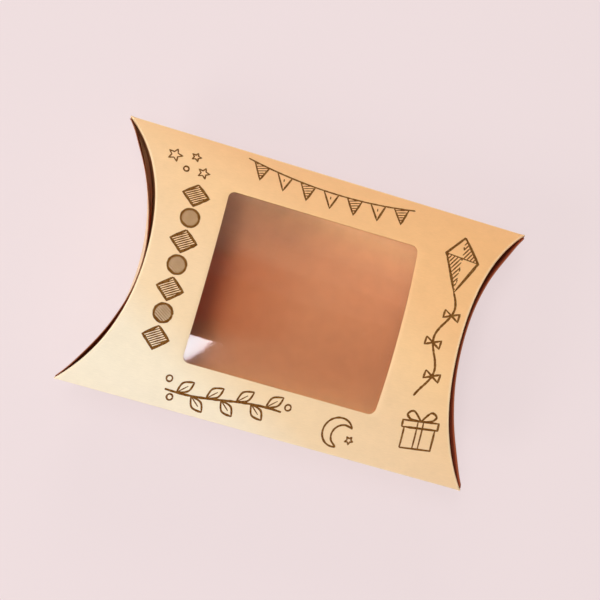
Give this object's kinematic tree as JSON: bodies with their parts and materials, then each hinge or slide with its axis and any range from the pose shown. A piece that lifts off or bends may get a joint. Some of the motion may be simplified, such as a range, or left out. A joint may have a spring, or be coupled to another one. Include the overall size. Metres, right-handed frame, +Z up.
{
  "type": "favor box",
  "caption": "Pillow-shaped kraft favor box with a clear film window in its front panel and paired end flaps that hinge open at curved creases.",
  "frame": {"origin": "on the surface that the box lies on, under the middle of the box, at the middle of its flattened back strip", "axes": "+X along the length towards the right end, +Y across the width away from the glued side crease, +Z up through the window"},
  "size_m": [0.2488, 0.16, 0.0605],
  "materials": {
    "kraft_board": "uncoated light kraft board, matte, faint fibres",
    "clear_film": "clear glossy film, slightly uneven",
    "dried_glue": "dried glue, off-white, satin",
    "print_ink": "dark brown matte print on the board"
  },
  "bodies": {
    "box": {"front_panel": "kraft_board", "back_panel": "kraft_board", "seam_tab": "kraft_board", "seam_glue": "dried_glue", "window_film": "clear_film", "window_glue": "dried_glue"},
    "left_outer": {"left_outer_flap": "kraft_board"},
    "left_inner": {"left_inner_flap": "kraft_board"},
    "right_outer": {"right_outer_flap": "kraft_board"},
    "right_inner": {"right_inner_flap": "kraft_board"}
  },
  "joints": [
    {"name": "left_outer_hinge", "type": "hinge", "parent": "box", "child": "left_outer", "pos_m": [-0.0954, 0, 0.0003], "axis": [0, -1, 0], "range_deg": [0, 90]},
    {"name": "left_inner_hinge", "type": "hinge", "parent": "box", "child": "left_inner", "pos_m": [-0.0937, 0, 0.0605], "axis": [0, 1, 0], "range_deg": [0, 72]},
    {"name": "right_outer_hinge", "type": "hinge", "parent": "box", "child": "right_outer", "pos_m": [0.0954, 0, 0.0003], "axis": [0, 1, 0], "range_deg": [0, 90]},
    {"name": "right_inner_hinge", "type": "hinge", "parent": "box", "child": "right_inner", "pos_m": [0.0937, 0, 0.0605], "axis": [0, -1, 0], "range_deg": [0, 72]}
  ],
  "couplings": [
    {"joint": "left_inner_hinge", "follows": "left_outer_hinge", "ratio": 0.8},
    {"joint": "right_inner_hinge", "follows": "right_outer_hinge", "ratio": 0.8}
  ]
}
